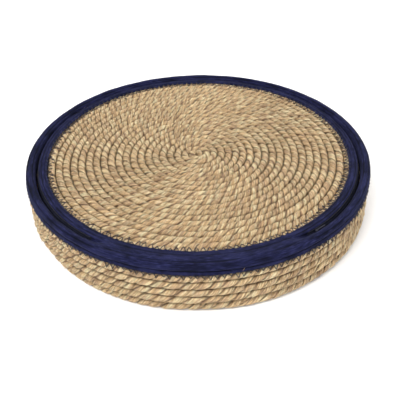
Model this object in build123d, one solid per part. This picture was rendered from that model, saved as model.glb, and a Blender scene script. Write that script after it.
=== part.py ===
"""Round straw seat pad with a zipped top.

A basket of coiled straw rope, with one length of rope for the base and one for the wall, holds a foam disc.
The flat top mat, coiled from a third rope, closes it as a lid. A navy cotton binding covers the mat's edge and another the wall's edge. The two meet in a narrow
groove on the rim, and in that groove a zip runs round the sides and back. At the front, instead of the zip, a
cotton panel joins both edges and is the lid's hinge.

Millimetres, +Z up. The origin is the centre of the underside, and the front of the pad faces -Y.
"""
import math
import os

from build123d import *

# ---- driving dimensions ----
PAD_RADIUS = 200.0
PAD_HEIGHT = 63.0

BASKET_PITCH = 9.6  # from one turn of the basket's rope to the next
BASKET_ROPE = 9.0  # rope diameter
BASE_HALF_TURNS = 38
BASKET_HALF_TURNS = 50  # base and wall together
PRESSED_FLAT = 0.4  # depth to which the base's rope is pressed flat underneath
CORNER_RADIUS = 8.0  # of the rope's centre line, where the base turns up into the wall
CORNER_SHARE = 0.87  # turns lie a little further apart round the corner

MAT_PITCH = 8.65
MAT_ROPE = 8.3
MAT_HALF_TURNS = 41
MAT_Z = 56.4  # height of the mat rope's centre line

CLOTH = 0.75  # thickness of the folded cotton
BINDING_INNER_RADIUS = 175.8  # inner edge of the navy cloth on the mat
LID_RADIUS = 184.5  # outer face of the mat's binding
WALL_LIP_RADIUS = 189.0  # inner face of the wall's binding
WALL_BINDING_FOOT = 51.5  # height of the binding's lower edge outside
WALL_BINDING_INNER_FOOT = 48.5

THREAD = 0.7
LACING_DEPTH = 0.28  # how far below the ropes' centre line the lacing lies, as a share of the rope
TOP_STITCHES = 168
WALL_STITCHES = 96
STITCH_REACH = 4.6

CHAIN_RADIUS = 186.75  # the zip's centre line, seen from above
CHAIN_Z = 53.0  # height at which the two rows of the zip mesh
ZIP_START = -54.5  # azimuth of the zip's closed end, in degrees from +X
ZIP_END = 234.5
TAPE = 0.4
COIL_WIDTH = 1.6
COIL_HEIGHT = 1.0
COIL_GAP = 0.3

SLIDER_AZIMUTH = -51.0
SLIDER_LENGTH = 9.0
SLIDER_THICKNESS = 3.6
SLIDER_HEIGHT = 6.8
SLIDER_PLATE = 0.9
PIVOT_Z = 58.5
PIN_RADIUS = 0.5
EYE_CLEARANCE = 0.12
PULL_LENGTH = 14.0
PULL_WIDTH = 1.5
PULL_THICKNESS = 1.2

FOAM_RADIUS = 183.6
FOAM_BOTTOM = 10.2
FOAM_TOP = 50.0
FOAM_EDGE = 7.0
LINER = 0.5
SLACK = 0.15  # room between pieces that lie against each other

# ---- values that follow from them ----
WALL_ROPE_RADIUS = PAD_RADIUS - CLOTH - 0.25 - BASKET_ROPE / 2
BASE_Z = BASKET_ROPE / 2 - PRESSED_FLAT
SLIDER_SPAN = math.degrees(SLIDER_LENGTH / CHAIN_RADIUS)


# ---- helpers ----
def section(outline):
    """A face in the XZ plane from points (radius, height)."""
    corners = [(radius, 0, height) for radius, height in outline]
    return make_face(Polyline(*corners, close=True))


def ring(face, start=0.0, end=360.0):
    """The solid swept by a face of the XZ plane about Z between two azimuths."""
    return revolve(Rot(0, 0, start) * face, Axis.Z, end - start)


def strip_section(route, thickness):
    """The outline of a thin strip that follows a route of (radius, height) points."""
    sides = []
    for side in (1, -1):
        line = []
        for here in range(len(route)):
            before = route[max(here - 1, 0)]
            after = route[min(here + 1, len(route) - 1)]
            along = Vector(after[0] - before[0], after[1] - before[1]).normalized()
            across = Vector(-along.Y, along.X) * (side * thickness / 2)
            line.append((route[here][0] + across.X, route[here][1] + across.Y))
        sides.append(line)
    return section(sides[0] + sides[1][::-1])


def coil(points, profile, side=1):
    """A rope that coils round Z: a half turn from each point (radius, height) to the next, on alternate sides.

    The profile is drawn with x outwards and y up. The first point lies on the +X side if side is 1.
    """
    ends = [Vector(radius * side * (-1) ** n, 0, height) for n, (radius, height) in enumerate(points)]
    skin = []
    for n in range(len(ends) - 1):
        here, there = ends[n], ends[n + 1]
        outward = (here - there).normalized()
        forward = Vector(0, side * (-1) ** n, 0)
        start = Plane(origin=here, x_dir=outward, z_dir=-forward)
        centre = (here + there) / 2
        turn = revolve(start * profile, Axis(tuple(centre), tuple(outward.cross(forward))), 180)
        cut_ends = turn.faces().filter_by(lambda face: abs(face.center().Y) < 1e-6)
        skin += [face for face in turn.faces() if face not in cut_ends]
        if n == 0:
            skin.append(cut_ends.sort_by_distance(here)[0])
        if n == len(ends) - 2:
            skin.append(cut_ends.sort_by_distance(there)[0])
    return Solid(Shell(skin))


# ---- the basket: a coiled base and a coiled wall ----
def basket_line(travel, inset=0.0):
    """(radius, height) of the coil's centre line after travel along the base, corner and wall."""
    corner_start = WALL_ROPE_RADIUS - CORNER_RADIUS
    corner_length = CORNER_SHARE * CORNER_RADIUS * math.pi / 2
    wall_start = corner_start + corner_length
    if travel <= corner_start:
        return travel, BASE_Z + inset
    if travel < wall_start:
        angle = (travel - corner_start) / corner_length * math.pi / 2
        reach = CORNER_RADIUS - inset
        centre_z = BASE_Z + CORNER_RADIUS
        return corner_start + reach * math.sin(angle), centre_z - reach * math.cos(angle)
    return WALL_ROPE_RADIUS - inset, BASE_Z + CORNER_RADIUS + travel - wall_start


def basket_points(first, last, inset=0.0):
    """The coil's centre line at the ends of its half turns, which are counted from the middle of the base."""
    return [basket_line(BASKET_PITCH / 2 * (n + 0.5), inset) for n in range(first, last + 1)]


def base_rope():
    """Pressed flat underneath, where it lies on the seat."""
    pressed_away = Pos(0, -BASE_Z) * Rectangle(BASKET_ROPE, BASKET_ROPE, align=(Align.CENTER, Align.MAX))
    profile = Circle(BASKET_ROPE / 2) - pressed_away
    return coil(basket_points(0, BASE_HALF_TURNS), profile)


def wall_rope():
    rope = coil(basket_points(BASE_HALF_TURNS, BASKET_HALF_TURNS), Circle(BASKET_ROPE / 2))
    pressed_away = Cylinder(PAD_RADIUS, 2, align=(Align.CENTER, Align.CENTER, Align.MAX))
    return rope - pressed_away


def base_lacing():
    """The thread that sews each turn to the next, in the valleys on the inside."""
    inset = LACING_DEPTH * BASKET_ROPE
    return coil(basket_points(1, BASE_HALF_TURNS, inset), Circle(THREAD / 2))


def wall_lacing():
    inset = LACING_DEPTH * BASKET_ROPE
    points = basket_points(BASE_HALF_TURNS, BASKET_HALF_TURNS - 1, inset)
    return coil(points, Circle(THREAD / 2), side=-1)


# ---- the top mat ----
def top_mat_rope():
    points = [(MAT_PITCH / 2 * (n + 0.5), MAT_Z) for n in range(MAT_HALF_TURNS + 1)]
    return coil(points, Circle(MAT_ROPE / 2))


def top_mat_lacing():
    height = MAT_Z - LACING_DEPTH * MAT_ROPE
    points = [(MAT_PITCH / 2 * (n + 0.5), height) for n in range(1, MAT_HALF_TURNS)]
    return coil(points, Circle(THREAD / 2))


# ---- navy bindings, their zigzag stitches and the hinge panel ----
def folded_cloth(low, high, radius):
    """The section of a strip folded round an edge, as a rounded frame between two corners (radius, height)."""
    size = (high[0] - low[0], high[1] - low[1])
    centre = Plane.XZ * Pos((low[0] + high[0]) / 2, (low[1] + high[1]) / 2)
    outside = centre * RectangleRounded(*size, radius)
    inside = centre * RectangleRounded(size[0] - 2 * CLOTH, size[1] - 2 * CLOTH, radius - CLOTH)
    return outside - inside


def box_section(low, high):
    """A rectangle of the XZ plane between two corners (radius, height)."""
    return section([low, (high[0], low[1]), high, (low[0], high[1])])


def top_binding():
    half = MAT_ROPE / 2 + SLACK + 0.1 + CLOTH
    fold = folded_cloth((BINDING_INNER_RADIUS - 20, MAT_Z - half), (LID_RADIUS, MAT_Z + half), half - 0.05)
    inner_part = box_section((BINDING_INNER_RADIUS - 30, 40), (BINDING_INNER_RADIUS, 70))
    return ring(fold - inner_part)


def wall_binding():
    corner = (PAD_RADIUS - WALL_LIP_RADIUS) / 2 - 0.05
    fold = folded_cloth((WALL_LIP_RADIUS, 30), (PAD_RADIUS, PAD_HEIGHT), corner)
    middle = (PAD_RADIUS + WALL_LIP_RADIUS) / 2
    below_outside = box_section((middle, 20), (PAD_RADIUS + 1, WALL_BINDING_FOOT))
    below_inside = box_section((WALL_LIP_RADIUS - 1, 20), (middle, WALL_BINDING_INNER_FOOT))
    return ring(fold - below_outside - below_inside)


def top_binding_stitch():
    """One zigzag thread over the binding's inner edge, as a flat ribbon on top of the mat."""
    outer = BINDING_INNER_RADIUS + 1.0
    inner = outer - STITCH_REACH - 1.0
    turn = 2 * math.pi / (2 * TOP_STITCHES)
    edges = []
    for side in (1, -1):
        corners = []
        for n in range(2 * TOP_STITCHES):
            radius = (inner if n % 2 else outer) + side * THREAD
            corners.append((radius * math.cos(n * turn), radius * math.sin(n * turn)))
        edges.append(make_face(Polyline(*corners, close=True)))
    top = MAT_Z + MAT_ROPE / 2 + SLACK + 0.1 + CLOTH
    return extrude(Pos(0, 0, top + 0.1) * (edges[0] - edges[1]), THREAD)


def wall_binding_stitch():
    """The legs of a zigzag thread from the wall binding's lower edge down onto the rope."""
    outside = PAD_RADIUS + THREAD / 2 + 0.1
    turn = math.pi / WALL_STITCHES
    high = WALL_BINDING_FOOT + 1.0
    low = high - STITCH_REACH - 1.0
    legs = []
    for n in range(2 * WALL_STITCHES):
        heights = (high, low) if n % 2 else (low, high)
        ends = []
        for k, height in enumerate(heights):
            angle = (n + 0.04 + 0.92 * k) * turn
            ends.append(Vector(outside * math.cos(angle), outside * math.sin(angle), height))
        way = ends[1] - ends[0]
        leg = Cylinder(THREAD / 2, way.length, align=(Align.CENTER, Align.CENTER, Align.MIN))
        legs.append(Plane(origin=ends[0], z_dir=way) * leg)
    return Compound(legs)


def hinge_panel():
    """Cotton that closes the groove at the front and lets the top swing up."""
    clear = 0.3
    low = (LID_RADIUS + clear, PAD_HEIGHT - 3.0)
    high = (WALL_LIP_RADIUS - SLACK, PAD_HEIGHT - 0.8)
    return ring(box_section(low, high), ZIP_END + 0.7, 360 + ZIP_START - 0.7)


# ---- the zip ----
def zip_tape_upper():
    """Hangs from the lid's binding down to the upper row of the zip."""
    on_binding = LID_RADIUS + SLACK + TAPE / 2
    top = CHAIN_Z + COIL_GAP / 2 + COIL_HEIGHT + 0.25
    route = [(CHAIN_RADIUS, top), (CHAIN_RADIUS, top + 2.1), (on_binding, top + 3.2), (on_binding, 60.8)]
    return ring(strip_section(route, TAPE), ZIP_START, ZIP_END)


def zip_tape_lower():
    """Stands up from the wall's binding to the lower row of the zip."""
    on_binding = WALL_LIP_RADIUS - SLACK - TAPE / 2
    top = CHAIN_Z - COIL_GAP / 2 - COIL_HEIGHT - 0.25
    route = [(CHAIN_RADIUS, top), (CHAIN_RADIUS, top - 2.5), (on_binding, top - 3.6), (on_binding, 40.0)]
    return ring(strip_section(route, TAPE), ZIP_START, ZIP_END)


def zip_coil(low):
    """One row of the nylon coil, from its lower edge up. It ends inside the closed slider."""
    half = COIL_WIDTH / 2
    face = box_section((CHAIN_RADIUS - half, low), (CHAIN_RADIUS + half, low + COIL_HEIGHT))
    return ring(face, SLIDER_AZIMUTH - SLIDER_SPAN * 0.28, ZIP_END - 1.0)


def zip_stop(low, start, height=COIL_HEIGHT):
    """A block clamped on the tape's edge, past the end of the coil."""
    half = COIL_WIDTH / 2
    face = box_section((CHAIN_RADIUS - half, low), (CHAIN_RADIUS + half, low + height))
    return ring(face, start, start + 0.5)


def tape_seam(radius, height):
    """The thread that sews a zip tape to its binding."""
    face = Plane.XZ * Pos(radius, height) * Circle(THREAD / 2)
    return ring(face, ZIP_START + 0.3, ZIP_END - 0.3)


def zip_slider():
    """Two curved plates joined by a wedge at the nose, with a lug and pin for the pull."""
    start = SLIDER_AZIMUTH - SLIDER_SPAN / 2
    end = SLIDER_AZIMUTH + SLIDER_SPAN / 2
    inner = CHAIN_RADIUS - SLIDER_THICKNESS / 2
    outer = CHAIN_RADIUS + SLIDER_THICKNESS / 2
    low, high = CHAIN_Z - SLIDER_HEIGHT / 2, CHAIN_Z + SLIDER_HEIGHT / 2
    inner_plate = ring(box_section((inner, low), (inner + SLIDER_PLATE, high)), start, end)
    outer_plate = ring(box_section((outer - SLIDER_PLATE, low), (outer, high)), start, end)
    wedge_half = COIL_GAP / 2 + COIL_HEIGHT
    wedge_low, wedge_high = CHAIN_Z - wedge_half, CHAIN_Z + wedge_half
    wedge_section = box_section((inner + 0.1, wedge_low), (outer - 0.1, wedge_high))
    wedge = ring(wedge_section, start, start + SLIDER_SPAN * 0.16)
    lug_section = box_section((outer - SLIDER_PLATE, high - 1), (outer, PIVOT_Z + 1.0))
    lug = ring(lug_section, SLIDER_AZIMUTH - 0.35, SLIDER_AZIMUTH + 0.35)
    pin_length = SLIDER_THICKNESS - SLIDER_PLATE / 2 - 0.55
    across = Plane(origin=(outer - SLIDER_PLATE / 2, 0, PIVOT_Z), z_dir=(-1, 0, 0))
    pin = across * Cylinder(PIN_RADIUS, pin_length, align=(Align.CENTER, Align.CENTER, Align.MIN))
    return inner_plate + outer_plate + wedge + lug + Rot(0, 0, SLIDER_AZIMUTH) * pin


def zip_pull():
    """A narrow tab that lies in the groove and swings up about the slider's pin."""
    middle = (CHAIN_RADIUS + SLIDER_THICKNESS / 2 - SLIDER_PLATE) - SLACK - PULL_WIDTH / 2
    across = Plane(origin=(middle, 0, PIVOT_Z), z_dir=(1, 0, 0))
    eye = across * Cylinder(PULL_THICKNESS / 2 + 0.4, PULL_WIDTH)
    tab_size = (PULL_WIDTH, PULL_LENGTH - 1.0, PULL_THICKNESS)
    tab = Pos(middle, 0, PIVOT_Z) * Box(*tab_size, align=(Align.CENTER, Align.MIN, Align.CENTER))
    tab = fillet(tab.faces().sort_by(Axis.Y)[-1].edges().filter_by(Axis.Z), 0.4 * PULL_WIDTH)
    hole = across * Cylinder(PIN_RADIUS + EYE_CLEARANCE, PULL_WIDTH + 2)
    return Rot(0, 0, SLIDER_AZIMUTH) * (eye + tab - hole)


# ---- the filling ----
def foam_core():
    height = FOAM_TOP - FOAM_BOTTOM
    disc = Cylinder(FOAM_RADIUS, height, align=(Align.CENTER, Align.CENTER, Align.MIN))
    disc = fillet(disc.edges().filter_by(GeomType.CIRCLE), FOAM_EDGE)
    return Pos(0, 0, FOAM_BOTTOM) * disc


def core_liner():
    """A thin closed bag round the foam, which keeps straw dust out of it."""
    grow = SLACK + LINER
    outside = Cylinder(FOAM_RADIUS + grow, FOAM_TOP - FOAM_BOTTOM + 2 * grow)
    inside = Cylinder(FOAM_RADIUS + SLACK, FOAM_TOP - FOAM_BOTTOM + 2 * SLACK)
    outside = fillet(outside.edges().filter_by(GeomType.CIRCLE), FOAM_EDGE + grow)
    inside = fillet(inside.edges().filter_by(GeomType.CIRCLE), FOAM_EDGE + SLACK)
    return Pos(0, 0, (FOAM_TOP + FOAM_BOTTOM) / 2) * (outside - inside)


def make_nodes():
    upper_coil_low = CHAIN_Z + COIL_GAP / 2
    lower_coil_low = CHAIN_Z - COIL_GAP / 2 - COIL_HEIGHT
    stop_start = ZIP_START + 0.4
    bottom_stop_start = ZIP_END - 0.7
    seam_inward = TAPE + THREAD / 2 + 2 * SLACK
    return {
        "base_rope": base_rope(),
        "wall_rope": wall_rope(),
        "base_lacing": base_lacing(),
        "wall_lacing": wall_lacing(),
        "top_mat_rope": top_mat_rope(),
        "top_mat_lacing": top_mat_lacing(),
        "top_binding": top_binding(),
        "top_binding_stitch": top_binding_stitch(),
        "wall_binding": wall_binding(),
        "wall_binding_stitch": wall_binding_stitch(),
        "hinge_panel": hinge_panel(),
        "zip_tape_upper": zip_tape_upper(),
        "zip_tape_lower": zip_tape_lower(),
        "zip_seam_upper": tape_seam(LID_RADIUS + seam_inward, 60.2),
        "zip_seam_lower": tape_seam(WALL_LIP_RADIUS - seam_inward, 43.0),
        "zip_coil_upper": zip_coil(upper_coil_low),
        "zip_coil_lower": zip_coil(lower_coil_low),
        "zip_top_stop_upper": zip_stop(upper_coil_low, stop_start),
        "zip_top_stop_lower": zip_stop(lower_coil_low, stop_start),
        "zip_bottom_stop": zip_stop(lower_coil_low, bottom_stop_start, 2 * COIL_HEIGHT + COIL_GAP),
        "zip_slider": zip_slider(),
        "zip_pull": zip_pull(),
        "foam_core": foam_core(),
        "core_liner": core_liner(),
    }


os.makedirs("parts", exist_ok=True)
for name, shape in make_nodes().items():
    shape.label = name
    export_step(shape, f"parts/{name}.step")
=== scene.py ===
import math

import bpy
import numpy as np
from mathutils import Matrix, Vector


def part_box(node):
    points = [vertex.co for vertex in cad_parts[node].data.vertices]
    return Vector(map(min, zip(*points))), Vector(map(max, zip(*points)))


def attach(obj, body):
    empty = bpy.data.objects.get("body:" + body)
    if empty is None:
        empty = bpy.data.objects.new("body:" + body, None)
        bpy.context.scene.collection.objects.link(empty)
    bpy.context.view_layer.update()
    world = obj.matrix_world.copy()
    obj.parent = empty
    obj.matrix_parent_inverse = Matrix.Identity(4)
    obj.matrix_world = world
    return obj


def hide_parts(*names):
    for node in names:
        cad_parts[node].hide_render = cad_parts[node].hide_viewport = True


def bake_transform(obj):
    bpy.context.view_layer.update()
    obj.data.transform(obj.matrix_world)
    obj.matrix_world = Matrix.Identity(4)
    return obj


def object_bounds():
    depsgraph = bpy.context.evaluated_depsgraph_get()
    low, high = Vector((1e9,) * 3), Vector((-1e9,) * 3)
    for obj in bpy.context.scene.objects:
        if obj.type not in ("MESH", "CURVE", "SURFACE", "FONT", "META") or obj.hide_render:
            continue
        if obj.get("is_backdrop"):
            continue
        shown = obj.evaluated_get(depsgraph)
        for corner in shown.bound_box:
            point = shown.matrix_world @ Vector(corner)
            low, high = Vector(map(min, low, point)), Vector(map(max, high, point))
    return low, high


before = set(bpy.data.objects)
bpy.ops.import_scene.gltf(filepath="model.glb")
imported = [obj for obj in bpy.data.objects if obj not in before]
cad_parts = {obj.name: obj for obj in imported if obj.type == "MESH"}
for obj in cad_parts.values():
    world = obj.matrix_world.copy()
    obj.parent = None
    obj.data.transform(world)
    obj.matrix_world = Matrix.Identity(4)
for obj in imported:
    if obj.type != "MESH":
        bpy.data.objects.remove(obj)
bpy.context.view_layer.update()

MM = 0.001

# ---- sizes that repeat the CAD's, in millimetres ----
BASKET_PITCH = 9.6  # from one turn of rope to the next
BASKET_ROPE = 9.0
BASE_Z = 4.1
BASE_END = 184.8  # travel along base and wall at which the base's rope ends, and then the wall's
BASKET_END = 242.4
MAT_PITCH = 8.65
MAT_Z = 56.4
MAT_END = 179.5
PAD_RADIUS = 200.0
BAND_INNER = 175.8
CHAIN_RADIUS = 186.75
CHAIN_Z = 53.0
ZIP_START = math.radians(-54.5)
ZIP_END = math.radians(234.5)
CORE_RADIUS = 183.6
CORE_LOW = 10.2
CORE_HIGH = 50.0
CLOTH = 0.75

# ---- sizes of the ropes as they look: a little fuller than in the CAD ----
WALL_RADIUS = 195.2
CORNER_RADIUS = 5.5
CORNER_LENGTH = 5.23  # of travel round the corner
MAT_ROPE = 8.55
BASKET_LAY = 24.5  # length of rope for one full turn of its two strands
MAT_LAY = 20.0


# ---- smooth random lines and fields ----
def through(values, at):
    """A smooth curve through values that lie at whole numbers, read at other places."""
    i = np.clip(np.floor(at).astype(int), 1, len(values) - 3)
    t = (at - i).reshape((-1,) + (1,) * (values.ndim - 1))
    a, b, c, d = values[i - 1], values[i], values[i + 1], values[i + 2]
    return b + 0.5 * t * (c - a + t * (2 * a - 5 * b + 4 * c - d + t * (3 * (b - c) + d - a)))


def wander(rng, along, wavelength, size):
    """A smooth random line along a length of rope or thread."""
    knots = rng.standard_normal(int(along[-1] / wavelength) + 6)
    return size * through(knots, along / wavelength + 1)


def ring_field(rng, knots, turns, across, wavelength, size):
    """A smooth random field on a closed band: turns from 0 to 1 round it, across in millimetres."""
    grid = rng.standard_normal((knots, int(across[-1] / wavelength) + 6))
    grid = np.concatenate([grid[-1:], grid, grid[:4]])
    rows = through(grid, turns * knots + 1)
    return size * through(rows.T, across / wavelength + 1).T


def ring_line(rng, knots, turns, size):
    """A smooth random line round a closed band, as a column."""
    return ring_field(rng, knots, turns, np.array([0.0, 1.0]), 1.0, size)[:, :1]


def eased(value, low, high):
    """From 0 at low to 1 at high, with a gentle start and end."""
    t = np.clip((value - low) / (high - low), 0, 1)
    return t * t * (3 - 2 * t)


# ---- points, in millimetres ----
UP = (0.0, 0.0, 1.0)


def placed(radius, angle, height):
    """Points from their distance to the pad's axis, their angle round it and their height."""
    return np.stack(np.broadcast_arrays(radius * np.cos(angle), radius * np.sin(angle), height), -1)


def distances(line):
    """How far along a line each of its points lies."""
    return np.concatenate([[0], np.cumsum(np.linalg.norm(np.diff(line, axis=0), axis=1))])


def unit(vectors):
    return vectors / np.linalg.norm(vectors, axis=-1, keepdims=True)


# ---- meshes ----
def mesh_object(name, points, *faces):
    """An object from points in millimetres and arrays of faces with the same number of corners."""
    corners = np.concatenate([f.ravel() for f in faces]).astype(np.int32)
    sizes = np.concatenate([np.full(len(f), f.shape[1]) for f in faces])
    starts = np.concatenate([[0], np.cumsum(sizes)[:-1]]).astype(np.int32)
    mesh = bpy.data.meshes.new(name)
    mesh.vertices.add(len(points))
    mesh.vertices.foreach_set("co", (points * MM).astype(np.float32).ravel())
    mesh.loops.add(len(corners))
    mesh.loops.foreach_set("vertex_index", corners)
    mesh.polygons.add(len(sizes))
    mesh.polygons.foreach_set("loop_start", starts)
    mesh.update(calc_edges=True)
    mesh.shade_smooth()
    made = bpy.data.objects.new(name, mesh)
    bpy.context.scene.collection.objects.link(made)
    return made


def set_vectors(made, name, values):
    attribute = made.data.attributes.new(name, "FLOAT_VECTOR", "POINT")
    attribute.data.foreach_set("vector", values.astype(np.float32).ravel())


def set_floats(made, name, values):
    attribute = made.data.attributes.new(name, "FLOAT", "POINT")
    attribute.data.foreach_set("value", values.astype(np.float32).ravel())


def grid_faces(rows, columns, wrap_rows, wrap_columns):
    """Quads between the rows and columns of a grid of points, closed on itself where it wraps."""
    i = np.arange(rows if wrap_rows else rows - 1)
    j = np.arange(columns if wrap_columns else columns - 1)
    i, j = np.meshgrid(i, j, indexing="ij")
    i2, j2 = (i + 1) % rows, (j + 1) % columns
    quads = np.stack([i * columns + j, i2 * columns + j, i2 * columns + j2, i * columns + j2], -1)
    return quads.reshape(-1, 4)


def tube_grid(line, radius, sides, outward):
    """Rings of points round a line. Outward gives each ring's first direction."""
    ahead = unit(np.gradient(line, axis=0))
    first = unit(outward - (outward * ahead).sum(1, keepdims=True) * ahead)
    second = np.cross(ahead, first)
    turn = np.linspace(0, 2 * math.pi, sides, endpoint=False)[None, :, None]
    radius = np.broadcast_to(radius, (len(line),))[:, None, None]
    return line[:, None] + radius * (np.cos(turn) * first[:, None] + np.sin(turn) * second[:, None])


def tube_faces(rings, sides, closed, start=0):
    """Quads along the tube, and a fan at each end if it isn't closed."""
    quads = grid_faces(rings, sides, closed, True) + start
    if closed:
        return quads, np.zeros((0, 3), int)
    j = np.arange(1, sides - 1)
    low = np.stack([np.zeros_like(j), j, j + 1], -1) + start
    high = np.stack([np.zeros_like(j), j + 1, j], -1) + start + (rings - 1) * sides
    return quads, np.concatenate([low, high])


def thread(name, line, radius, outward, closed=False, sides=6):
    """A thread along a line, with the coordinates its twist is drawn from."""
    points = tube_grid(line, radius, sides, outward)
    quads, fans = tube_faces(len(line), sides, closed)
    made = mesh_object(name, points.reshape(-1, 3), quads, fans)
    turn = np.linspace(0, 2 * math.pi, sides, endpoint=False)
    fibre = placed(np.ones((len(line), sides)), turn, distances(line)[:, None])
    set_vectors(made, "fibre", fibre.reshape(-1, 3))
    return made


# ---- materials ----
class Surface:
    """A material built from nodes, with the calls that all the surfaces here need."""

    def __init__(self, name, **constants):
        self.material = bpy.data.materials.new(name)
        self.material.use_nodes = True
        self.tree = self.material.node_tree
        self.shader = self.tree.nodes["Principled BSDF"]
        for key, value in constants.items():
            self.shader.inputs[key.replace("_", " ")].default_value = value

    def set(self, socket, value):
        if isinstance(value, bpy.types.NodeSocket):
            self.tree.links.new(value, socket)
        else:
            socket.default_value = value

    def node(self, kind, inputs=(), **settings):
        made = self.tree.nodes.new("ShaderNode" + kind)
        for key, value in settings.items():
            setattr(made, key, value)
        for key, value in dict(inputs).items():
            self.set(made.inputs[key], value)
        return made

    def attribute(self, name, output="Vector"):
        return self.node("Attribute", attribute_name=name).outputs[output]

    def math(self, operation, a, b=0.0, c=0.0):
        return self.node("Math", {0: a, 1: b, 2: c}, operation=operation).outputs[0]

    def stretched(self, vector, x, y, z):
        return self.node("VectorMath", {0: vector, 1: (x, y, z)}, operation="MULTIPLY").outputs[0]

    def noise(self, vector, scale=1.0, detail=2.0, roughness=0.5):
        inputs = {"Vector": vector, "Scale": scale, "Detail": detail, "Roughness": roughness}
        return self.node("TexNoise", inputs).outputs["Fac"]

    def ramp(self, value, *stops):
        made = self.node("ValToRGB", {"Fac": value})
        stops_here = made.color_ramp.elements
        while len(stops_here) < len(stops):
            stops_here.new(0.5)
        for stop, (place, colour) in zip(stops_here, stops):
            stop.position = place
            stop.color = (*colour, 1)
        return made.outputs["Color"]

    def mix(self, share, a, b, blend="MIX"):
        made = self.node("Mix", data_type="RGBA", blend_type=blend)
        self.set(made.inputs["Factor"], share)
        for socket, value in ((made.inputs[6], a), (made.inputs[7], b)):
            self.set(socket, value if isinstance(value, bpy.types.NodeSocket) else (*value, 1))
        return made.outputs[2]

    def span(self, value, low, high, to_low=0.0, to_high=1.0):
        inputs = {"Value": value, "From Min": low, "From Max": high, "To Min": to_low, "To Max": to_high}
        return self.node("MapRange", inputs).outputs["Result"]

    def bump(self, height, strength, distance, under=None):
        inputs = {"Height": height, "Strength": strength, "Distance": distance}
        made = self.node("Bump", inputs)
        if under is not None:
            self.tree.links.new(under, made.inputs["Normal"])
        return made.outputs["Normal"]

    def finish(self, colour, normal=None, roughness=None):
        self.set(self.shader.inputs["Base Color"], colour)
        if roughness is not None:
            self.set(self.shader.inputs["Roughness"], roughness)
        if normal is not None:
            self.tree.links.new(normal, self.shader.inputs["Normal"])
        return self.material


def straw_material():
    """Flat straw blades twisted side by side: streaks along the strand, each blade its own tone, and painted
    shade where the strands meet and between turns.
    """
    s = Surface("straw", Roughness=0.55, Specular_IOR_Level=0.5)
    fibre = s.attribute("fibre")
    blades = s.noise(s.stretched(fibre, 1.7, 1.7, 0.040), detail=1.0)
    patches = s.noise(s.stretched(fibre, 0.3, 0.3, 0.07), detail=2.0)
    streaks = s.noise(s.stretched(fibre, 7, 7, 0.22), detail=3.0, roughness=0.7)
    tone = s.math("ADD", s.math("MULTIPLY", blades, 0.55), s.math("MULTIPLY", patches, 0.45))
    colour = s.ramp(
        tone,
        (0.34, (0.36, 0.205, 0.105)),
        (0.44, (0.66, 0.425, 0.220)),
        (0.51, (0.90, 0.610, 0.310)),
        (0.58, (1.00, 0.86, 0.52)),
    )
    hue = s.noise(s.stretched(fibre, 0.7, 0.7, 0.05), scale=1.3, detail=1.0)
    colour = s.mix(s.span(hue, 0.53, 0.66, 0, 0.55), colour, (0.60, 0.41, 0.27))
    colour = s.mix(s.span(hue, 0.46, 0.32, 0, 0.45), colour, (0.74, 0.50, 0.22))
    colour = s.mix(s.span(streaks, 0.38, 0.50, 0.70, 0.0), colour, (0.22, 0.120, 0.058))
    colour = s.mix(s.span(streaks, 0.56, 0.68, 0.0, 0.65), colour, (1.00, 0.82, 0.50))
    # painted shade: the straw is darkened where depth is low, in the crease between the two strands and in
    # the seams between turns
    depth = s.attribute("depth", "Fac")
    colour = s.mix(s.span(depth, 0.93, 0.76, 0.0, 0.85), colour, (0.10, 0.050, 0.022))
    creases = s.noise(s.stretched(fibre, 3.2, 3.2, 0.09), detail=1.0)
    normal = s.bump(creases, 1.0, 0.0030)
    normal = s.bump(streaks, 1.0, 0.0012, normal)
    return s.finish(colour, normal, s.span(streaks, 0.3, 0.7, 0.68, 0.42))


def cotton_material(name, deep, usual, worn, pitch):
    """Plain-woven cotton: threads over and under, an uneven dye, a little wear, and painted shade in its
    folds.
    """
    s = Surface(name, Roughness=0.9, Specular_IOR_Level=0.1)
    s.shader.inputs["Sheen Weight"].default_value = 0.03
    s.shader.inputs["Sheen Roughness"].default_value = 0.45
    s.shader.inputs["Sheen Tint"].default_value = (0.6, 0.65, 0.95, 1)
    cloth = s.attribute("cloth")
    split = s.node("SeparateXYZ", {0: cloth})
    warp = s.math("MULTIPLY", split.outputs[0], 2 * math.pi / pitch)
    weft = s.math("MULTIPLY", split.outputs[1], 2 * math.pi / pitch)
    weave = s.math("MULTIPLY", s.math("SINE", warp), s.math("SINE", weft))
    uneven = s.noise(s.stretched(cloth, 0.12, 0.9, 1), detail=2.0)
    slubs = s.noise(s.stretched(cloth, 1.6, 0.5, 1), detail=3.0, roughness=0.6)
    fade = s.noise(s.stretched(cloth, 0.03, 0.12, 1), detail=2.0)
    colour = s.ramp(uneven, (0.3, deep), (0.55, usual), (0.78, worn))
    colour = s.mix(s.span(fade, 0.45, 0.7, 0, 0.35), colour, worn)
    colour = s.mix(s.span(slubs, 0.6, 0.78, 0, 0.35), colour, worn)
    colour = s.mix(s.span(weave, -1, 0.2, 0.45, 0.0), colour, deep)
    # painted shade: the cloth is darkened where its relief sinks, in its furrows, folds and gathers
    relief = s.attribute("relief", "Fac")
    colour = s.mix(s.span(relief, 0.05, -0.45, 0.0, 0.95), colour, tuple(0.45 * c for c in deep))
    normal = s.bump(weave, 0.55, 0.00018)
    normal = s.bump(slubs, 0.35, 0.0005, normal)
    return s.finish(colour, normal)


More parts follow.
